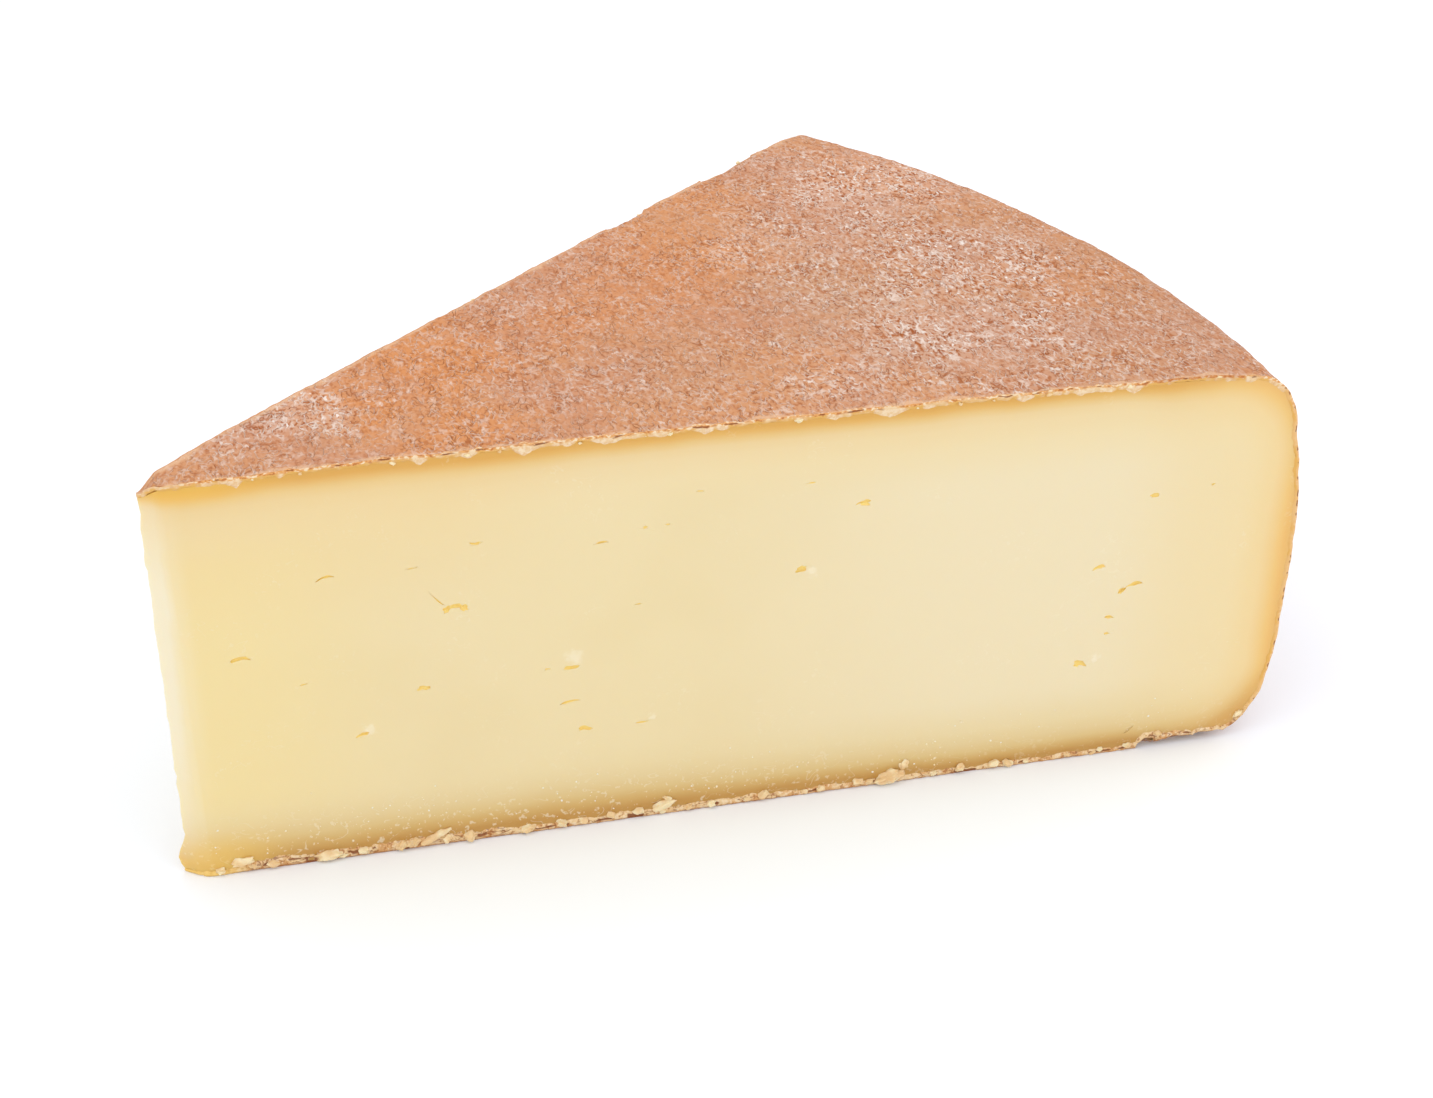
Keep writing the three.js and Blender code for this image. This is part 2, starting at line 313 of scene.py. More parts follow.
def makeLump(name, place, size, lean=0.0, turn=0.0, detail=3, rough=0.5, seed=0.0, grain=1.3):
    # a rough lump: size is its width, depth and height in mm
    bpy.ops.mesh.primitive_ico_sphere_add(subdivisions=detail, radius=1)
    lump = bpy.context.object
    lump.name = name
    drift = Vector((seed * 3.7, seed * 1.9, -seed * 2.3))
    for vertex in lump.data.vertices:
        vertex.co *= 1 + rough * noise.noise(vertex.co * grain + drift)
        for axis in range(3):
            vertex.co[axis] *= size[axis] / 2 * mm
    lump.rotation_euler = (0, math.radians(-lean), turn)
    lump.location = place
    pickUp(lump)
    bpy.ops.object.transform_apply(location=True, rotation=True)
    return lump


def joinAll(name, pieces):
    pickUp(*pieces)
    bpy.ops.object.join()
    joined = bpy.context.object
    joined.name = name
    return joined


def keepOffBoard(piece, by):
    for vertex in piece.data.vertices:
        vertex.co.z = max(vertex.co.z, by)


def finish(piece, material, angle):
    # edges sharper than the angle, in degrees, stay sharp
    pickUp(piece)
    bpy.ops.object.shade_smooth_by_angle(angle=math.radians(angle))
    piece.location = (*wheel["middle"], 0)
    bpy.ops.object.transform_apply(location=True)
    piece.data.materials.clear()
    piece.data.materials.append(material)
    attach(piece, "root")
    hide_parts("cheese_wedge")
    print(piece.name, "finished with", len(piece.data.polygons), "faces")


def fromScreen(colour):
    # the colour as it looks on screen, 0 to 255, made linear for the shader
    return (*[light["paint"] * ((c / 255 + 0.055) / 1.055) ** 2.4 for c in colour], 1)


class Recipe:
    # a material's nodes, laid one after another: shares run from 0 to 1, and places are measured
    # from the wheel's middle

    def __init__(self, name):
        self.material = bpy.data.materials.new(name)
        self.material.use_nodes = True
        self.tree = self.material.node_tree
        self.shader = self.tree.nodes["Principled BSDF"]
        self.colour = None
        place = self.node("ShaderNodeTexCoord").outputs["Object"]
        fromMiddle = Vector((-wheel["middle"][0], -wheel["middle"][1], 0))
        shift = self.node("ShaderNodeMapping", {"Vector": place, "Location": fromMiddle})
        self.place = shift.outputs["Vector"]
        self.x, self.y, self.z = self.node("ShaderNodeSeparateXYZ", {0: self.place}).outputs

    def feed(self, node, inputs):
        # each input gets another node's output, a number, or a colour as it looks on screen
        for name, value in inputs.items():
            if isinstance(value, bpy.types.NodeSocket):
                self.tree.links.new(value, node.inputs[name])
            else:
                value = fromScreen(value) if isinstance(value, tuple) else value
                node.inputs[name].default_value = value

    def node(self, kind, inputs=None, **settings):
        made = self.tree.nodes.new(kind)
        for key, value in settings.items():
            setattr(made, key, value)
        self.feed(made, inputs or {})
        return made

    def reckon(self, how, *values):
        return self.node("ShaderNodeMath", dict(enumerate(values)), operation=how).outputs[0]

    def plus(self, a, b):
        return self.reckon("ADD", a, b)

    def minus(self, a, b):
        return self.reckon("SUBTRACT", a, b)

    def times(self, first, *others):
        for other in others:
            first = self.reckon("MULTIPLY", first, other)
        return first

    def larger(self, a, b):
        return self.reckon("MAXIMUM", a, b)

    def smaller(self, a, b):
        return self.reckon("MINIMUM", a, b)

    def inMm(self, value):
        return self.reckon("DIVIDE", value, mm)

    def noise(self, size, detail=2.0, rough=0.5, swirl=0.0, stretch=(1, 1, 1), drift=0.0):
        # size is how far apart the lumps are, in mm
        drifted = Vector((drift, drift * 0.7, -drift))
        shift = {"Vector": self.place, "Scale": Vector(stretch), "Location": drifted}
        place = self.node("ShaderNodeMapping", shift).outputs["Vector"]
        lumps = {"Detail": detail, "Roughness": rough, "Distortion": swirl}
        lumps.update({"Vector": place, "Scale": 1 / (size * mm)})
        return self.node("ShaderNodeTexNoise", lumps).outputs["Fac"]

    def wander(self, size, detail, reach, drift=0.0):
        # noise to both sides of zero
        return self.times(self.minus(self.noise(size, detail, drift=drift), 0.5), reach)

    def spread(self, value, low, high, to=(0.0, 1.0)):
        # goes gently from the first amount to the second while the value goes from low to high
        names = ("Value", "From Min", "From Max", "To Min", "To Max")
        inputs = dict(zip(names, (value, low, high, *to)))
        made = self.node("ShaderNodeMapRange", inputs, interpolation_type="SMOOTHSTEP")
        return made.outputs["Result"]

    def fade(self, value, low, high):
        return self.spread(value, low, high, (1.0, 0.0))

    def ridges(self, value, width):
        # thin winding lines where the noise passes through its middle
        return self.fade(self.reckon("ABSOLUTE", self.minus(value, 0.5)), 0.0, width)

    def colours(self, value, stops, reach=20):
        # a row of colours, each with the value where it stands, up to reach
        share = self.reckon("DIVIDE", value, reach)
        node = self.node("ShaderNodeValToRGB", {"Fac": share})
        ramp = node.color_ramp
        while len(ramp.elements) < len(stops):
            ramp.elements.new(0.5)
        for element, (where, colour) in zip(ramp.elements, stops):
            element.position = where / reach
            element.color = fromScreen(colour)
        return node.outputs["Color"]

    def blend(self, share, under, over):
        inputs = {0: share, 6: under, 7: over}
        return self.node("ShaderNodeMix", inputs, data_type="RGBA").outputs[2]

    def cover(self, share, tone, strength=None):
        # lays a tone over the colour so far, where the share is above 0
        share = share if strength is None else self.times(share, strength)
        self.colour = self.blend(share, self.colour, tone)

    def vector(self, how, a, b, result="Vector"):
        return self.node("ShaderNodeVectorMath", {0: a, 1: b}, operation=how).outputs[result]

    def distance(self, place, to):
        return self.vector("DISTANCE", place, to, "Value")

    def spot(self, x, y, reach, wander):
        # a soft patch on the top round a place in mm, with a wandering edge, less on the heel
        flat = self.vector("MULTIPLY", self.place, Vector((1, 1, 0.5)))
        away = self.distance(flat, Vector((x * mm, y * mm, wheel["height"] * 0.5)))
        return self.fade(self.plus(away, wander), reach * 0.25 * mm, reach * mm)

    def behind(self, cut):
        # how deep the surface lies behind one of the cuts, in mm
        through, outward = cuts[cut]
        gap = self.vector("SUBTRACT", through, self.place)
        return self.inMm(self.vector("DOT_PRODUCT", gap, outward, "Value"))

    def behindCuts(self):
        nearer = self.smaller(self.behind("front"), self.behind("back"))
        return self.smaller(nearer, self.behind("tip"))

    def fromMiddle(self):
        squares = self.plus(self.times(self.x, self.x), self.times(self.y, self.y))
        return self.reckon("SQRT", squares)

    def level(self):
        # the height as it was before the top rose and drooped, in mm
        droop = self.reckon("DIVIDE", self.fromMiddle(), -wheel["droopReach"])
        droop = self.times(self.reckon("POWER", math.e, droop), wheel["tipDroop"])
        lift = self.minus(self.times(self.y, wheel["backRise"]), droop)
        share = self.spread(self.z, wheel["liftFrom"], wheel["liftTo"])
        return self.inMm(self.minus(self.z, self.times(lift, share)))

    def mark(self, name):
        # what was noted on the mesh, point by point
        return self.node("ShaderNodeAttribute", attribute_name=name).outputs["Fac"]

    def finish(self, height, kind):
        # the piece's own roughness and shine, and its fine relief in mm
        relief = {"Strength": 1.0, "Distance": kind["relief"] * mm, "Height": height}
        inputs = {
            "Base Color": self.colour,
            "Roughness": kind["roughness"],
            "Specular IOR Level": kind["shine"],
            "Normal": self.node("ShaderNodeBump", relief).outputs["Normal"],
        }
        if "lightThrough" in kind:  # how much light passes through, and how deep in mm
            inputs["Subsurface Weight"] = kind["lightThrough"][0]
            inputs["Subsurface Radius"] = Vector((1.0, 0.7, 0.35))
            inputs["Subsurface Scale"] = kind["lightThrough"][1] * mm
        self.feed(self.shader, inputs)
        return self.material


rind = {
    "fineness": 15,  # points between two knots of the section
    "steps": 1500,  # steps round the whole wheel
    "sunk": 0.3 * mm,  # its cut edge lies a little behind the cut cheese
    "lumps": (5.5 * mm, 0.42 * mm),  # how far apart and how strong
    "wrinkles": (2.4 * mm, -0.36 * mm),
    "creases": (1.5 * mm, 0.22 * mm),
    "wall": 1.9,  # thickness of the shell, in mm
    "roughness": 0.85,
    "shine": 0.06,
    "relief": 0.38,
    "plain": (215, 155, 113),
    "pink": (210, 151, 116),
    "orange": (222, 149, 94),
    "grey": (200, 158, 129),
    "bloom": (233, 211, 199),
    "line": (240, 219, 206),
    "fleck": (249, 236, 227),
    "hollow": (178, 104, 58),
    "crease": (166, 91, 49),
    "shoulder": (201, 137, 92),
    "nearCut": (240, 198, 160),
    # painted shade towards the heel, to take back the side light's brightness there
    "outerShade": (184, 138, 110),
    # how strongly each tone covers the ones before it
    "strength": {"shoulder": 0.6, "orange": 0.85, "grey": 0.55, "bloom": 0.24},
    # and each mark, where there is no bloom, and how much more where there is
    "marks": {
        "hollow": (0.48, 0.45),
        "crease": (0.5, 0.35),
        "line": (0.4, 0.46),
        "fleck": (0.34, 0.55),
    },
    # soft patches: x, y and reach in mm, and how strong
    "patches": {
        "orange": [
            (46, 32, 24, 1.0), (80, 40, 18, 0.6), (96, 60, 28, 0.65), (34, 15, 14, 1.0),
            (162, 43, 19, 0.9), (172, 62, 14, 0.6), (146, 98, 15, 0.7), (50, 6, 14, 0.8),
            (106, 92, 14, 0.5), (152, 84, 10, 0.5), (187, 2, 13, 0.8),
        ],
        "grey": [(119, 42, 24, 1.0), (128, 20, 16, 0.8), (28, 10, 10, 0.6), (88, 24, 22, 0.45)],
        "bloom": [
            (140, 30, 30, 1.0), (154, 54, 26, 1.0), (138, 62, 22, 0.9), (140, 86, 28, 1.0),
            (155, 106, 22, 0.8), (22, 15, 13, 1.0), (122, 66, 22, 0.6), (128, 102, 16, 0.35),
            (182, 18, 24, 0.3), (150, 14, 34, 0.4), (118, 12, 20, 0.4),
        ],
    },
}

# the section of the whole wheel, from the middle of the top round the heel to the base, in mm
section = [(147 * i / 14, 75.3) for i in range(15)] + [
    (158, 75.05), (169, 74.8), (178.5, 74.35), (185.8, 72.5), (189.6, 67.6), (191.4, 60),
    (192.8, 50), (193.6, 39), (193.6, 27.5), (193.0, 16.5), (191.0, 7.4), (186.2, 1.7), (178, 0),
]


def sectionInset(by):
    # the same section, by mm further in
    knots = []
    for i, (out, high) in enumerate(section):
        before = section[max(i - 1, 0)]
        after = section[min(i + 1, len(section) - 1)]
        along = Vector((after[0] - before[0], after[1] - before[1])).normalized()
        knots.append((max(out + along.y * by, 0), high - along.x * by))
    return knots


def turnBlock(name, inset, fineness, steps):
    block = drawSection(name, sectionInset(inset), fineness)
    drawTo(block, 0, inset)
    turnRound(block, steps)
    return block


def roughen(piece, name, size, depth, hard=False, detail=2):
    texture = bpy.data.textures.new(name, "CLOUDS")
    texture.noise_scale = size
    texture.noise_basis = "IMPROVED_PERLIN"
    texture.noise_type = "HARD_NOISE" if hard else "SOFT_NOISE"
    texture.noise_depth = detail
    applyModifier(
        piece, "DISPLACE", texture=texture, texture_coords="LOCAL", strength=depth, mid_level=0.5,
        vertex_group="weathered",
    )


def swollenBlock(name, inset, fineness, steps):
    # the uncut cheese near the wedge, weathered all over but where it stands on the board
    block = turnBlock(name, inset, fineness, steps)
    cutWedge(block, -wheel["overcut"], rounded=False)
    group = block.vertex_groups.new(name="weathered")
    for vertex in block.data.vertices:
        group.add([vertex.index], smooth(vertex.co.z / (7 * mm)), "REPLACE")
    roughen(block, name + " swell", *wheel["swell"])
    return block


def noteRelief(piece, name, before, depth):
    # how far each point was lifted or sunk, so that the colours follow the wrinkles
    layer = piece.data.attributes.new(name, "FLOAT", "POINT")
    for i, vertex in enumerate(piece.data.vertices):
        layer.data[i].value = (vertex.co - before[i]).dot(vertex.normal) / depth


def makeRind():
    block = swollenBlock("rind", 0, rind["fineness"], rind["steps"])
    roughen(block, "lumps", *rind["lumps"])
    before = [vertex.co.copy() for vertex in block.data.vertices]
    roughen(block, "wrinkles", *rind["wrinkles"], hard=True, detail=1)
    roughen(block, "creases", *rind["creases"], detail=1)
    noteRelief(block, "wrinkle", before, 0.2 * mm)
    core = turnBlock("rind core", rind["wall"], 3, 72)
    cutAway(block, core)
    bpy.data.objects.remove(core)
    cutWedge(block, rind["sunk"])
    settle(block)
    print("rind made:", len(block.data.polygons))
    return block


def rindGround(r, shares):
    # the ground colour in broad patches
    fromMiddle = r.fromMiddle()
    r.colour = r.blend(r.spread(r.noise(24, 2, drift=0.3), 0.4, 0.62), rind["plain"], rind["pink"])
    shares["shoulder"] = r.spread(fromMiddle, 178 * mm, 190 * mm)
    for tone, strength in rind["strength"].items():
        r.cover(shares[tone], rind[tone], strength)
    # darker towards the heel, less towards the back corner: painted shade against the side light
    outerShade = r.spread(fromMiddle, 120 * mm, 165 * mm)
    r.cover(outerShade, rind["outerShade"], r.spread(r.y, 62 * mm, 88 * mm, (0.3, 0.06)))


def rindMaterial():
    r = Recipe("washed rind")
    wander = r.wander(9, 3, 34 * mm)
    shares = dict.fromkeys(rind["patches"], 0.0)
    for tone, patches in rind["patches"].items():
        for x, y, reach, strength in patches:
            patch = r.times(r.spot(x, y, reach, wander), strength)
            shares[tone] = r.larger(shares[tone], patch)
    lower = r.spread(r.z, 70 * mm, 55 * mm)
    onHeel = r.spread(r.noise(30, 2, drift=0.7), 0.46, 0.62, (0.1, 0.9))
    shares["bloom"] = r.larger(shares["bloom"], r.times(lower, onHeel))
    rindGround(r, shares)

    # dense fine wrinkles: pale winding lines and flecks over darker hollows and creases
    flat = (1, 0.6, 1)
    lines = 0.0
    for size, width, breaks, drift in ((1.25, 0.09, 1.3, 0.07), (0.95, 0.095, 1.5, 0.21)):
        winding = r.ridges(r.noise(size, 0.5, 0.5, 0.5, flat, drift), width)
        broken = r.spread(r.noise(breaks, 1, stretch=flat, drift=drift + 0.2), 0.38, 0.63)
        lines = r.larger(lines, r.times(winding, broken))
    fine = r.noise(0.62, 0.8, 0.6, 0.3, flat, 0.2)
    creases = r.ridges(r.noise(1.4, 0.8, 0.5, 0.6, flat, 0.5), 0.06)
    creases = r.times(creases, r.spread(r.noise(2.3, 1, stretch=flat, drift=0.7), 0.42, 0.62))
    raised = r.times(r.minus(r.mark("wrinkle"), 0.1), 0.1)
    marks = {
        "hollow": r.spread(r.plus(fine, raised), 0.6, 0.34),
        "crease": creases,
        "line": lines,
        "fleck": r.spread(r.noise(1.0, 1.0, 0.6, 0.3, flat, 0.9), 0.66, 0.74),
    }
    calm = r.spread(r.noise(14, 2, drift=0.44), 0.36, 0.56, (0.75, 1.2))
    for tone, (strength, inBloom) in rind["marks"].items():
        amount = r.plus(strength, r.times(shares["bloom"], inBloom))
        r.cover(marks[tone], rind[tone], r.times(amount, calm))

    # paler here and there right at the cut
    rim = r.plus(r.behindCuts(), r.wander(3.5, 3, 4))
    r.cover(r.fade(rim, 0.3, 1.2), rind["nearCut"], 0.6)
    height = r.plus(r.times(fine, 0.4), r.times(r.minus(lines, creases), 0.3))
    return r.finish(height, rind)


paste = {
    "under": 0.5,  # mm of rind over it
    # the cut faces are divided into a grid: how far apart in mm, and how many
    "scoreAlong": (3.0, 64),
    "scoreUp": (1.5, 49),
    # the blade's waves: how long in mm, and how deep
    "waves": ((34, 0.07 * mm), (11, 0.02 * mm)),
    "roughness": 0.45,
    "shine": 0.4,
    "relief": 0.07,
    "lightThrough": (0.2, 2.5),
    "body": (242, 222, 173),
    "cooler": (240, 219, 168),
    "heelward": (243, 226, 186),
    # painted glow: the light that passes through the thin tip
    "tipGlow": (246, 223, 160),
    # painted highlight on the blunt tip: the light from the left and its sheen
    "tip": (248, 236, 205),
    "foot": (248, 206, 110),
    # painted light: the glow through the cheese into the eyes, made brighter against the shade
    # inside them
    "eye": (255, 222, 126),
    "byHeel": (244, 223, 173),
    "nearTop": (243, 214, 153),
    "gold": (248, 196, 84),
    "speck": (253, 242, 214),
    # the colours under the rind, by how deep, in mm
    "underTop": [
        (1.2, (229, 172, 82)), (2.0, (233, 183, 98)), (3.0, (237, 199, 130)),
        (4.2, (240, 211, 154)), (6.0, (242, 217, 165)), (10.0, (243, 221, 171)),
    ],
    "overBase": [
        (2.4, (202, 152, 78)), (4.2, (217, 177, 106)), (6.0, (228, 198, 136)),
        (8.5, (234, 209, 154)), (12.0, (238, 216, 164)),
    ],
    "atHeel": [
        (1.0, (243, 190, 108)), (2.4, (244, 199, 119)), (4.0, (244, 208, 141)),
        (5.4, (245, 216, 157)), (7.5, (245, 219, 163)), (11.0, (245, 223, 173)),
    ],
    # small pale smudges by the eyes: how far along, how high and reach in mm
    "smudges": [
        (106.2, 45.9, 1.3), (158.6, 21.0, 1.3), (66.0, 34.9, 2.0), (31.8, 25.8, 1.4),
        (79.0, 20.8, 0.9),
    ],
}


def makePaste():
    body = swollenBlock("paste", paste["under"], 6, 360)
    cutWedge(body, 0)
    score(body, Vector((1, 0, 0)), *paste["scoreAlong"])
    score(body, up, *paste["scoreUp"])
    (long, deep), (short, shallow) = paste["waves"]
    for vertex in body.data.vertices:  # the blade leaves shallow waves in both cuts
        x, y, z = vertex.co
        if (tipLine - vertex.co).dot(tipOut) <= 0.3 * mm:
            continue
        if abs(y) < 0.01 * mm:
            vertex.co.y -= deep * waver(long, x, z, 1) + shallow * waver(short, x, z, 2)
        elif abs((cutsMeet - vertex.co).dot(backOut)) < 0.01 * mm:
            shift = deep * waver(long, x, z, 3) + shallow * waver(short, x, z, 4)
            vertex.co += backOut * shift
    settle(body)
    print("paste made:", len(body.data.polygons))
    return body


tears = [
    # which cut, how far along, how high, and the width, depth and height of what is gone, in mm
    (onFront, 170.9, 0.2, (4.4, 3.4, 3.4)),
    (onFront, 176.4, -0.1, (10, 3.4, 3.4)),
    (onFront, 183.4, 0.2, (10, 3.4, 3.4)),
    (onBack, 125, 76.3, (16, 2.4, 3.0)),
    (onBack, 158, 76.2, (22, 2.6, 2.2)),
]


def tearOut(pieces):
    # short stretches where the knife tore a little of the edge away
    for i, (onCut, along, high, size) in enumerate(tears):
        place = onCut(along, high)
        lump = makeLump("tear", place, size, turn=turnOf(onCut), rough=0.4, seed=i + 1, grain=2.2)
        for piece in pieces:
            cutAway(piece, lump)
        bpy.data.objects.remove(lump)
    print("edge torn:", len(tears))


# the eyes of the front cut: how far along, how high, width, height, lean in degrees and bow
frontEyes = [
    (45.5, 46.9, 1.5, 1.1, 30, 0), (47.0, 47.4, 3.4, 0.8, 2, 0.5), (48.3, 46.9, 1.6, 1.2, -30, 0),
    (44.2, 49.0, 3.8, 0.3, -50, -1.5), (27.0, 55.4, 3.2, 0.6, 6, 0.9),
    (12.6, 42.1, 3.8, 0.8, 2, 0.9), (41.1, 32.4, 2.6, 0.9, 5, 0.1), (30.8, 24.8, 2.2, 0.8, 8, 0.2),
    (50.6, 58.7, 2.4, 0.6, 0, -0.4), (40.5, 55.4, 2.2, 0.35, 6, 0), (70.9, 56.2, 2.6, 0.5, 2, 0.2),
    (78.0, 58.1, 1.2, 0.5, 0, 0), (81.7, 58.2, 1.0, 0.4, 0, 0), (65.3, 32.9, 3.0, 0.8, 6, -0.2),
    (61.4, 33.1, 1.2, 0.4, 0, 0), (65.0, 26.0, 3.6, 0.6, 8, 0.4), (67.5, 20.1, 2.8, 0.9, -4, 0.5),
    (77.2, 20.0, 3.0, 0.45, 3, 0.2), (76.7, 43.7, 1.6, 0.35, 0, 0),
    (104.3, 46.8, 2.1, 1.1, 14, 0.1), (167.0, 4.4, 3.2, 0.5, 38, 0.4),
    (114.7, 58.0, 3.2, 1.0, -4, 0.6), (105.4, 62.9, 2.4, 0.4, 2, 0),
    (166.2, 53.2, 1.8, 0.9, 14, 0.2), (157.7, 40.0, 2.4, 0.8, 4, 0.4),
    (164.6, 35.6, 3.4, 0.9, 6, 0.5), (162.2, 34.6, 2.0, 1.1, 50, 0),
    (160.4, 29.4, 2.0, 0.7, -4, 0.4), (160.3, 26.1, 1.3, 0.5, 0, 0),
    (155.7, 20.2, 2.8, 1.6, 10, 0.3), (87.0, 63.7, 1.6, 0.35, 0, 0),
    (176.7, 54.1, 0.8, 0.5, 0, 0), (22.0, 36.0, 1.6, 0.3, 12, 0),
]
eyes = {
    "depth": 0.7,  # for an eye 1 mm high, in mm
    "lumpWidth": 0.88,  # the lump that cuts an eye is a little narrower than the eye
    "back": 17,  # how many in the back cut
    "groups": (128, 58),  # where two loose groups of them lie, how far along in mm
    "groupReach": 16,
    "margin": (16, 14),  # how far they keep from the tip and heel, and from the rind
    "rounds": 4,  # the ones next to each other overlap, so they are cut in turn
}


def backEyes():
    made = []
    for i in range(eyes["back"]):
        middle = wheel["radius"] / mm / 2
        spread = middle - eyes["margin"][0]
        if i % 3 == 0:
            middle = eyes["groups"][(i + 1) % 2]
            spread = eyes["groupReach"]
        along = middle + spread * (2 * nextShare(100 + i) - 1)
        high = between(eyes["margin"][1], wheel["height"] / mm - eyes["margin"][1], nextShare())
        width = between(2.2, 5.2, nextShare() ** 2)
        height = width * between(0.22, 0.48, nextShare()) * 0.8
        lean = between(-12, 16, nextShare())
        made.append((along, high, width, height, lean, between(0, 0.8, nextShare())))
    return made


def openEyes(body):
    cutters = []
    for onCut, places in ((onFront, frontEyes), (onBack, backEyes())):
        for i, (along, high, width, height, lean, bow) in enumerate(places):
            depth = eyes["depth"] * min(height + 0.08, 1.1)
            size = (width * eyes["lumpWidth"], depth, height)
            eye = makeLump("eye", (0, 0, 0), size, lean, rough=0.7, seed=i + 1, grain=1.2)
            for vertex in eye.data.vertices:
                vertex.co.z -= bow * height * mm * ((vertex.co.x / (width / 2 * mm)) ** 2 - 0.4)
            eye.rotation_euler.z = turnOf(onCut)
            eye.location = onCut(along, high)
            pickUp(eye)
            bpy.ops.object.transform_apply(location=True, rotation=True)
            cutters.append(eye)
    for i in range(eyes["rounds"]):
        joined = joinAll("eyes", cutters[i :: eyes["rounds"]])
        cutAway(body, joined)
        bpy.data.objects.remove(joined)
    print("eyes opened:", len(cutters))


def depthUnderRind(r, level, out):
    # the wheel's section is nearly a box with rounded corners
    corner = 17.0
    half = wheel["height"] / mm / 2
    across = r.minus(out, wheel["radius"] / mm - corner - 0.4)
    upward = r.minus(r.reckon("ABSOLUTE", r.minus(level, half)), half - corner)
    squares = [r.reckon("POWER", r.larger(side, 0.0), 2) for side in (across, upward)]
    inner = r.smaller(r.larger(across, upward), 0.0)
    depth = r.minus(corner, r.plus(r.reckon("SQRT", r.plus(*squares)), inner))
    return r.plus(depth, r.wander(16, 2, 1.4))


def pasteBody(r, out):
    drift = r.spread(r.noise(30, 2, drift=0.8), 0.35, 0.65)
    r.colour = r.blend(drift, paste["body"], paste["cooler"])
    r.cover(r.spread(out, 70, 140), paste["heelward"], 0.95)
    r.cover(r.spread(out, 158, 182), paste["byHeel"], 0.75)
    # yellower towards the tip: painted light, the glow through the thin tip
    r.cover(r.fade(r.behind("tip"), 0.5, 24), paste["tipGlow"], 0.9)


def pasteBand(r, level, out, depth):
    # the colours under the rind: the band is wider here and narrower there
    underTop = r.times(depth, r.spread(out, 40, 80, (0.84, 1.13)))
    underTop = r.times(underTop, r.spread(out, 158, 169, (1.0, 0.78)))
    overBase = r.times(depth, r.spread(out, 55, 150, (0.94, 1.34)))
    overBase = r.times(overBase, r.spread(out, 168, 180, (1.0, 0.8)))
    top = r.colours(underTop, paste["underTop"])
    base = r.colours(overBase, paste["overBase"])
    heel = r.colours(depth, paste["atHeel"])
    atHeel = r.times(r.spread(out, 166, 185), r.spread(level, 3, 17, (0.4, 1.0)))
    return r.blend(atHeel, r.blend(r.fade(level, 20, 34), top, base), heel)


def knifeMarks(r, level, out):
    # pale specks and smears that the knife dragged along
    nearBase = r.times(r.fade(level, 3, 15), r.spread(out, 70, 150, (1.0, 0.3)))
    clusters = r.larger(r.spread(r.noise(13, 2, drift=0.6), 0.54, 0.7, (0.0, 0.5)), nearBase)
    dots = r.spread(r.noise(0.85, 1.5, 0.6, drift=0.15), 0.62, 0.7)
    smears = r.ridges(r.noise(5, 1.5, swirl=0.5, drift=0.9, stretch=(1, 1, 1.6)), 0.012)
    smears = r.times(smears, r.spread(r.noise(2.2, 1, drift=0.35), 0.5, 0.6))
    marks = r.times(r.larger(r.times(dots, 0.45), r.times(smears, 0.5)), clusters)
    for along, high, reach in paste["smudges"]:
        away = r.inMm(r.distance(r.place, onFront(along, high)))
        ragged = r.plus(away, r.wander(1.1, 2, 3))
        marks = r.larger(marks, r.times(r.fade(ragged, 0.2 * reach, reach), 0.5))
    return marks


def tipColours(r, level, depth):
    # the blunt tip is painted pale on the side away from the front cut, and has an amber foot
    # the pale is painted highlight: the light from the left and the sheen on the tip's facet
    fromTip = r.behind("tip")
    fromFront = r.plus(r.behind("front"), r.wander(6, 2, 0.8))
    paleFrom = r.spread(level, 10, 50, (2.0, 1.1))
    tipHighlight = r.times(r.fade(fromTip, 0.15, 0.6), r.spread(fromFront, 0.0, paleFrom, (0.4, 1.0)))
    tipHighlight = r.times(tipHighlight, r.spread(level, 3, 32, (0.4, 1.0)))
    highlightBeside = r.times(r.spread(fromTip, 0.0, 2.0, (0.34, 0.0)), r.spread(level, 8, 38, (0.1, 1.0)))
    pale = r.times(r.larger(tipHighlight, highlightBeside), r.spread(level, 74, 54, (0.3, 1.0)))
    pale = r.times(pale, r.spread(depth, 1.0, 4.0))
    r.cover(pale, paste["tip"], 0.9)
    foot = r.times(r.fade(fromTip, 1.0, 10.0), r.fade(level, 2.0, 12.0))
    r.cover(foot, paste["foot"], r.spread(pale, 0.1, 0.6, (0.68, 0.25)))


def pasteMaterial():
    r = Recipe("cheese paste")
    level = r.level()
    out = r.inMm(r.fromMiddle())
    depth = depthUnderRind(r, level, out)
    pasteBody(r, out)
    r.cover(r.fade(depth, 6, 17), pasteBand(r, level, out, depth))

    # warmer high up, towards the tip and the heel, and golden just under the rind at the tip
    warmer = r.times(r.spread(level, 42, 64), r.spread(out, 72, 40), 0.42)
    warmer = r.larger(warmer, r.spread(out, 156, 176, (0.0, 0.25)))
    r.cover(warmer, paste["nearTop"], r.spread(depth, 1, 4))
    golden = r.times(r.spread(out, 26, 8, (0.0, 0.6)), r.fade(depth, 1.5, 4.5))
    r.cover(golden, paste["gold"], r.spread(level, 60, 66))

    marks = knifeMarks(r, level, out)
    r.cover(marks, paste["speck"])
    tipColours(r, level, depth)
    # the eyes are painted bright amber: painted glow, brighter against the shade inside them
    eyeGlow = r.times(r.spread(r.behindCuts(), 0.07, 0.14), r.spread(depth, 7, 9))
    r.cover(eyeGlow, paste["eye"], r.spread(r.behind("tip"), 2.5, 4))
    return r.finish(r.plus(r.times(r.noise(2.4, 3), 0.6), r.times(marks, 0.8)), paste)


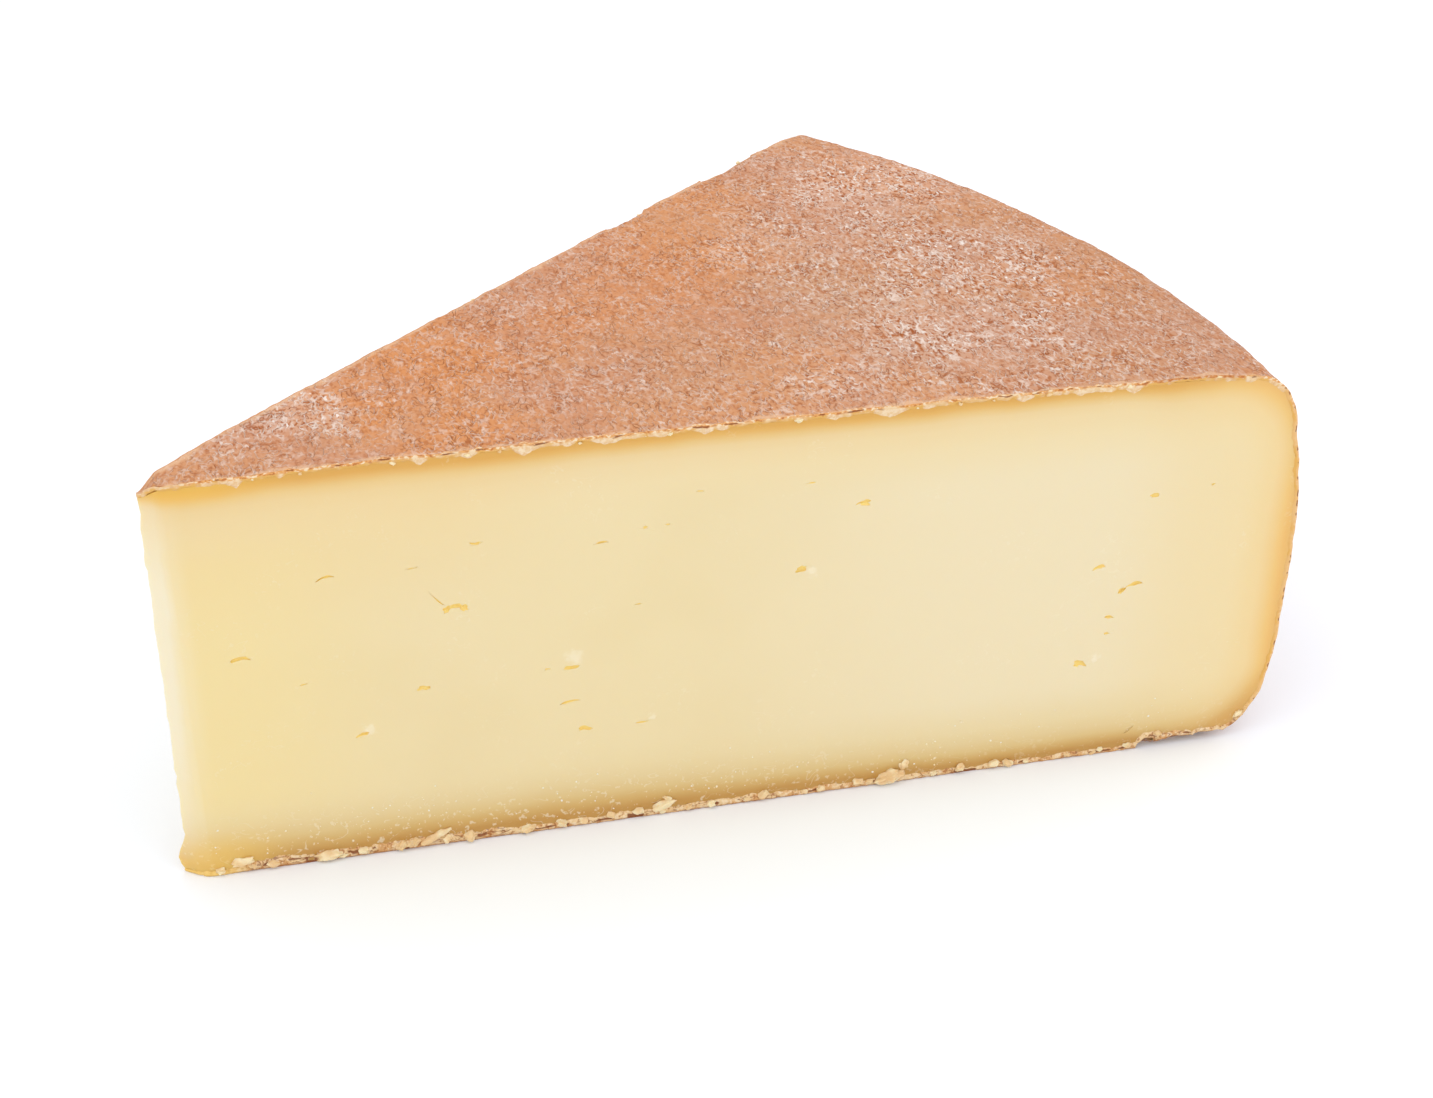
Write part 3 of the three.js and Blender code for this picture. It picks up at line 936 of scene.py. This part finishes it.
edge = {
    "step": 0.32 * mm,  # from point to point along the cut
    "rows": 7,
    "thick": 0.9 * mm,  # how far it reaches into the cheese
    "lowest": 0.04 * mm,
    "proud": (0.12, 0.3),  # how far it stands out of the cut on top and at the base, in mm
    "grainy": (0.12, 0.28),  # and how uneven it is
    "topWidth": (0.85, 1.15),  # thinnest and widest, in mm
    "heelWidth": 1.0,
    # how wide the lower edge is, by how far it lies from the wheel's middle, in mm
    "baseWidth": [
        (1, 0.6), (5, 1.1), (11, 2.3), (45, 2.2), (60, 1.6), (105, 1.5), (160, 1.2), (172, 1.5),
        (190, 1.0),
    ],
    "roughness": 0.6,
    "shine": 0.35,
    "relief": 0.12,
    "cream": (239, 202, 152),
    "amber": (232, 164, 92),
    "gold": (232, 178, 90),
    "glow": (249, 224, 188),
    "shade": (190, 108, 50),
    "heel": (240, 190, 124),
    "tan": (224, 172, 112),
    "grain": (241, 207, 156),
    "brown": (172, 104, 48),
    # partly the crust's own rust colour, partly painted shade where it meets the board
    "below": (184, 116, 58),
    "pit": (140, 74, 30),
    # brown gaps in the front's lower edge: how far along and how wide
    "gaps": [(20.3, 1.8), (36.0, 1.6), (56.8, 1.4), (75.9, 2.8), (136.1, 4.2)],
    "bare": (162, 178),  # a stretch of the front's upper edge without flakes
    # flakes that hang over the cut: how far along the front, width and drop
    "flakes": [
        (15.0, 1.6, 0.9), (21.5, 1.4, 0.5), (42.8, 1.8, 0.8), (50.5, 3.2, 0.6), (58.8, 3.4, 1.5),
        (60.4, 1.2, 0.5), (66.0, 2.2, 0.4), (71.6, 5.0, 0.9), (80.5, 3.0, 0.4), (87.8, 3.0, 0.9),
        (90.5, 2.4, 0.6), (103.0, 3.0, 0.4), (118.2, 6.0, 1.0), (124.5, 3.0, 0.4),
        (141.0, 3.4, 0.8), (151.0, 2.6, 0.4), (160.2, 3.0, 0.9), (181.0, 2.6, 0.9),
    ],
}


def evenPoints(points, step):
    made = []
    left = 0.0
    for before, after in zip(points, points[1:]):
        length = (after - before).length
        while left < length:
            made.append(before.lerp(after, left / length))
            left += step
        left -= length
    return made


def cutOutline():
    # round the whole cut: each place with the way out of its cut face and the way out of the rind
    line = drawSection("outline", section, 12)
    drawTo(line, 0, 0)
    points = evenPoints([vertex.co.copy() for vertex in line.data.vertices], edge["step"])
    bpy.data.objects.remove(line)
    spots = []
    for i, point in enumerate(points):
        along = points[min(i + 1, len(points) - 1)] - points[max(i - 1, 0)]
        spots.append((point, Vector((-along.z, 0, along.x)).normalized()))
    bevel = evenPoints([tipLine, tipEnd], edge["step"])[1:]
    backStart = (tipEnd - cutsMeet).length
    path = [(point, frontOut, way) for point, way in spots if point.x >= tipLine.x]
    path += [(place, tipOut, -up) for place in bevel]
    for point, way in reversed(spots):
        if point.x >= backStart:
            place = cutsMeet + backAlong * point.x + up * point.z
            path.append((place, backOut, backAlong * way.x + up * way.z))
    path += [(place + up * wheel["height"], tipOut, up) for place in reversed(bevel)]
    return path


def evened(path, reach=2):
    # the directions turn gradually at the corners
    made = []
    for i, spot in enumerate(path):
        near = [path[(i + k) % len(path)] for k in range(-reach, reach + 1)]
        ways = [sum((other[k] for other in near), Vector()).normalized() for k in (1, 2)]
        made.append((spot[0], *ways))
    return made


def lookUp(table, value):
    # the value's place in a table of pairs, with straight lines between them
    for (low, a), (high, b) in zip(table, table[1:]):
        if value < high:
            return between(a, b, max((value - low) / (high - low), 0))
    return table[-1][1]


def rimPoints(path, pieces):
    # where the rind's surface meets the cut, at each place of the path
    points = []
    faces = []
    for piece in pieces:
        start = len(points)
        points += [vertex.co.copy() for vertex in piece.data.vertices]
        faces += [[start + i for i in face.vertices] for face in piece.data.polygons]
    surface = BVHTree.FromPolygons(points, faces)
    rim = []
    for place, faceOut, way in path:
        behind = faceOut * 0.7 * mm  # a little behind the cut, from outside the rind inwards
        start = settled(place) + way * 4 * mm - behind
        rim.append(surface.ray_cast(start, -way, 9 * mm)[0] + behind)
    return rim


def flakeDrop(place, faceOut, way):
    if way.z < 0.7 or faceOut.dot(frontOut) < 0.9:
        return 0.0
    drop = 0.0
    for along, width, most in edge["flakes"]:
        gap = abs(place.x / mm - along) / (width / 2)
        if gap < 1:
            drop = max(drop, most * (1 - gap) ** 0.8)
    return drop


def edgeWidth(place, faceOut, way, rim, top, base):
    lip = between(*edge["topWidth"], smooth(0.5 + 0.9 * waver(8, *rim)))
    low = lookUp(edge["baseWidth"], math.hypot(place.x, place.y) / mm)
    width = between(between(edge["heelWidth"], lip, top), low, base)
    broad = between(0.25, 0.42, base) * waver(between(2.2, 4.5, base), *rim)
    width *= 1 + broad + 0.26 * waver(0.9, *rim)
    return width + flakeDrop(place, faceOut, way)


def edgeHole(place, faceOut, at, share, base):
    # small pits, none at the tip, and the gaps in the front's lower edge
    near = smooth(1 - abs(share - between(0.2, 0.5, base)) / between(0.24, 0.36, base))
    pits = waver(2.4, at.x, at.y, at.z * 2.4)
    hole = near * smooth((pits - 0.13) * 6)
    hole *= smooth((math.hypot(place.x, place.y) / mm - 6) / 8)
    if base > 0.5 and faceOut.dot(frontOut) > 0.9:
        gap = min(abs(place.x / mm - middle) - wide / 2 for middle, wide in edge["gaps"])
        hole = max(hole, smooth(0.5 - gap / 0.6) * smooth((0.8 - share) * 4))
    return hole


def edgePoint(spot, rim, share):
    # share runs from 0 at the rind's surface to 1 at the edge's inner side
    place, faceOut, way = spot
    top = smooth(way.z * 2 - 0.6)
    base = smooth(-way.z * 2 - 0.6)
    width = edgeWidth(place, faceOut, way, rim, top, base)
    overRim = 0.07 + 0.08 * top * (1 + waver(1.5, *rim))
    overRim = between(overRim, -0.04, top * smooth(faceOut.dot(backOut)))
    at = rim - way * (width * share - overRim) * mm
    grain = waver(0.85, *at) * 0.5 + waver(0.42, *at) * 0.3
    hump = math.sin(math.pi * min(share * 1.15, 1)) ** 0.6 if 0 < share < 0.87 else 0.0
    proud = between(*edge["proud"], base) * hump
    proud += between(*edge["grainy"], base) * grain * (0.25 + hump)
    hole = edgeHole(place, faceOut, at, share, base)
    proud = between(proud, 0.02, hole)
    if share > 0.99:
        proud -= 0.06
    marks = {
        "pit": hole,
        "atBase": base,
        "inward": share,
        "flake": top * smooth((width - 0.95) / 0.3),
        "fromRim": width * share,
    }
    return at + faceOut * proud * mm, marks


def makeEdge(pieces):
    # a strip round the whole cut, whose points are then laid on the cut one by one
    path = evened(cutOutline())
    rim = rimPoints(path, pieces)
    count = len(path)
    bpy.ops.mesh.primitive_grid_add(x_subdivisions=count, y_subdivisions=edge["rows"], size=1)
    strip = bpy.context.object
    strip.name = "cut_edge"
    for name in ("pit", "atBase", "inward", "flake", "fromRim"):
        strip.data.attributes.new(name, "FLOAT", "POINT")
    for vertex in strip.data.vertices:
        i = round((vertex.co.x + 0.5) * count) % count
        vertex.co, marks = edgePoint(path[i], rim[i], 0.5 + vertex.co.y)
        for name, amount in marks.items():
            strip.data.attributes[name].data[vertex.index].value = amount
    keepOffBoard(strip, edge["lowest"])
    edit(strip)
    bpy.ops.mesh.remove_doubles(threshold=0.001 * mm)
    bpy.ops.mesh.flip_normals()
    putDown()
    applyModifier(strip, "SOLIDIFY", thickness=edge["thick"], offset=-1, use_even_offset=False)
    keepOffBoard(strip, edge["lowest"])
    print("edge made:", len(strip.data.polygons))
    return strip


def upperEdge(r, grain, broad):
    # a thin dotted line, with cream flakes over the gold of the cheese
    fromMiddle = r.fromMiddle()
    fromRim = r.mark("fromRim")
    flake = r.mark("flake")
    start, end = [side * mm for side in edge["bare"]]
    thin = r.times(r.spread(r.x, start, start + 3 * mm), r.fade(r.x, end, end + 3 * mm))
    thin = r.times(thin, r.fade(r.y, 4 * mm, 6 * mm))
    creamy = r.spread(r.noise(5, 2, drift=0.5), 0.44, 0.6)
    creamy = r.times(creamy, r.spread(fromMiddle, 18 * mm, 45 * mm), r.minus(1.0, thin))
    dots = r.noise(0.5, 1.5, 0.6, stretch=(0.6, 0.6, 1), drift=0.8)
    r.colour = r.blend(r.spread(dots, 0.5, 0.6), edge["amber"], edge["glow"])
    r.cover(r.spread(dots, 0.46, 0.38), edge["shade"], 0.85)
    r.cover(thin, edge["shade"], 0.5)
    r.cover(r.spread(fromMiddle, 4 * mm, 11 * mm, (0.75, 0.0)), edge["cream"])
    r.cover(creamy, edge["cream"], r.spread(fromRim, 0.1, 0.35, (0.35, 0.9)))
    onHeel = r.times(r.spread(r.level(), 73.5, 69), r.spread(fromMiddle, 183 * mm, 187 * mm))
    r.cover(onHeel, edge["heel"], r.spread(broad, 0.35, 0.6, (0.95, 0.5)))
    ragged = r.plus(fromRim, r.wander(1.0, 2, 0.9, drift=0.1))
    bare = r.minus(1, r.larger(flake, r.times(creamy, 0.6)))
    r.cover(r.spread(ragged, 0.3, 0.5), edge["gold"], bare)
    flakes = r.times(flake, r.spread(fromRim, 0.3, 0.5))
    r.cover(flakes, r.blend(r.spread(grain, 0.42, 0.6), edge["cream"], edge["glow"]), 0.8)
    onBackCut = r.spread(r.behind("back"), 1.0, 1.6, (0.8, 0.0))  # keeps the rind's colour
    r.cover(onBackCut, rind["plain"], r.fade(fromRim, 0.15, 0.4))
    return r.colour


def lowerEdge(r, grain, broad):
    # broken crust: cream grains and brown between them, darker and redder towards the board
    r.colour = r.blend(r.spread(broad, 0.42, 0.6), edge["grain"], edge["tan"])
    r.cover(r.spread(grain, 0.52, 0.64), edge["glow"], 0.8)
    r.cover(r.spread(grain, 0.46, 0.36), edge["brown"], 0.75)
    cracks = r.ridges(r.noise(1.5, 1, swirl=0.4, stretch=(0.6, 0.6, 1.5), drift=0.6), 0.05)
    cracks = r.times(cracks, r.spread(r.noise(4, 1, drift=0.1), 0.45, 0.6))
    r.cover(cracks, edge["pit"], 0.75)
    # towards the board: partly the crust's rust colour, partly painted shade of the contact
    r.cover(r.fade(r.mark("inward"), 0.05, 0.4), edge["below"], 0.75)
    r.cover(r.fade(r.behind("tip"), 0.5, 4.5), paste["foot"], 0.85)
    return r.colour


def edgeMaterial():
    r = Recipe("torn rind edge")
    grain = r.noise(0.7, 2.5, 0.6)
    broad = r.noise(3.2, 2, drift=0.2)
    upper = upperEdge(r, grain, broad)
    lower = lowerEdge(r, grain, broad)
    r.colour = r.blend(r.mark("atBase"), upper, lower)
    r.cover(r.spread(r.mark("pit"), 0.25, 0.8), edge["pit"], 0.9)
    return r.finish(grain, edge)


crumbs = {
    # the rule for each edge: which cut, whether its upper edge, how many, from and to along the
    # cut, smallest and largest, seed
    "edges": [
        (onFront, False, 38, 4, 184, 0.9, 2.0, 200),
        (onFront, True, 16, 9, 176, 0.4, 0.9, 300),
        (onBack, False, 26, 8, 186, 0.9, 1.8, 400),
        (onBack, True, 14, 10, 176, 0.6, 1.2, 500),
    ],
    # single lumps on the front's lower edge: along, height, size and lean
    "large": [
        (121.8, 1.5, (5.0, 3.4, 2.4), 14), (124.5, 3.5, (1.6, 1.2, 2.0), -20),
        (23.4, 1.2, (4.6, 2.4, 1.7), 4), (41.2, 2.0, (4.8, 1.6, 1.4), 24),
        (36.8, 1.2, (3.0, 1.4, 1.2), 6), (9.2, 2.2, (4.0, 1.6, 1.7), 12),
        (81.0, 2.0, (4.4, 1.5, 1.9), 16), (81.6, 3.3, (1.7, 0.8, 0.8), -24),
        (57.2, 1.0, (2.6, 2.0, 1.4), 4), (172.8, 2.7, (1.5, 1.0, 1.2), -20),
        (188.2, 4.8, (2.0, 1.0, 0.9), 34),
    ],
    "keptOut": (168, 187),  # no small crumbs in the notch near the heel
    "shrink": 0.66,
    "lowest": 0.05 * mm,
    "specks": 190,
    "speckSize": (0.42, 0.2, 0.3),
    "roughness": 0.55,
    "shine": 0.5,
    "relief": 0.12,
    "lightThrough": (0.15, 1.0),
    "cream": (252, 232, 188),
    "tan": (241, 205, 152),
    # nearly white: partly the specks' own pale colour, partly painted glints
    "pale": (255, 250, 232),
}


def makeCrumbs():
    made = []
    notchStart, notchEnd = crumbs["keptOut"]
    for onCut, upper, count, low, high, least, most, seed in crumbs["edges"]:
        for i in range(count):
            along = between(low, high, (i + nextShare(seed + i)) / count)
            width = between(least, most, nextShare()) * 1.6
            height = width * between(0.5, 0.9, nextShare())
            if upper:
                level = settled(onCut(along, 75.3)).z / mm - 0.6
            else:
                level = height * 0.4 + 0.5 * nextShare()
            place = onCut(along, level, 0.1 * width * nextShare())
            if onCut is onFront and not upper and notchStart < along < notchEnd:
                continue
            lean = between(-25, 25, nextShare())
            size = Vector((width, width * 0.84, height)) * crumbs["shrink"]
            made.append(makeLump("crumb", place, size, lean, turnOf(onCut), 2, 0.7, seed + i, 1.5))
    for i, (along, high, size, lean) in enumerate(crumbs["large"]):
        place = onFront(along, high)
        made.append(makeLump("crumb", place, size, lean, rough=0.6, seed=640 + i, grain=1.7))
    heap = joinAll("crumbs", made)
    keepOffBoard(heap, crumbs["lowest"])
    print("crumbs made:", len(made))
    return heap


def makeSpecks():
    # tiny crumbs that the knife left on the cut faces, most of them low down and near the tip
    draws = random.Random(11)
    first = makeLump("speck", (0, 0, 0), crumbs["speckSize"], detail=1, seed=3)
    made = [first]
    for i in range(crumbs["specks"]):
        onCut = onFront if i % 3 else onBack
        if i % 12 < 2:  # the middle of the next cluster
            along = 8 + 172 * draws.random() ** 1.5
            level = 4 + 6 * draws.random() if i % 4 else 10 + 50 * draws.random()
        high = max(level + draws.gauss(0, 2.2), 2.5)
        aside = min(max(along + draws.gauss(0, 5), 5), 184)
        speck = first.copy()
        speck.data = first.data.copy()
        bpy.context.collection.objects.link(speck)
        speck.location = onCut(aside, high, 0.02)
        speck.scale = Vector((1, 1, 1)) * (0.45 + 0.9 * draws.random() ** 2.5)
        speck.rotation_euler = (0, draws.random() * 6, turnOf(onCut))
        made.append(speck)
    first.location = onFront(60, 9)
    pickUp(*made)
    bpy.ops.object.transform_apply(location=True, rotation=True, scale=True)
    print("specks made:", len(made))
    return joinAll("specks", made)


def crumbMaterial(name, bright, dull):
    r = Recipe(name)
    grain = r.noise(0.8, 3, 0.6)
    r.colour = r.blend(r.spread(r.noise(2.6, 1, drift=0.3), 0.42, 0.6), bright, dull)
    r.cover(r.spread(grain, 0.45, 0.3), crumbs["tan"], 0.4)
    return r.finish(grain, crumbs)


setCamera()
setLight()
setBoard()

cheese = makePaste()
skin = makeRind()
tearOut([cheese, skin])
lip = makeEdge([cheese, skin])
openEyes(cheese)
heap = makeCrumbs()
specks = makeSpecks()

finish(cheese, pasteMaterial(), 35)
finish(skin, rindMaterial(), 50)
finish(lip, edgeMaterial(), 60)
finish(heap, crumbMaterial("cheese crumbs", crumbs["cream"], crumbs["tan"]), 28)
# the specks are painted nearly white: partly their own colour, partly painted glints
finish(specks, crumbMaterial("pale specks with painted glints", crumbs["pale"], crumbs["cream"]), 28)
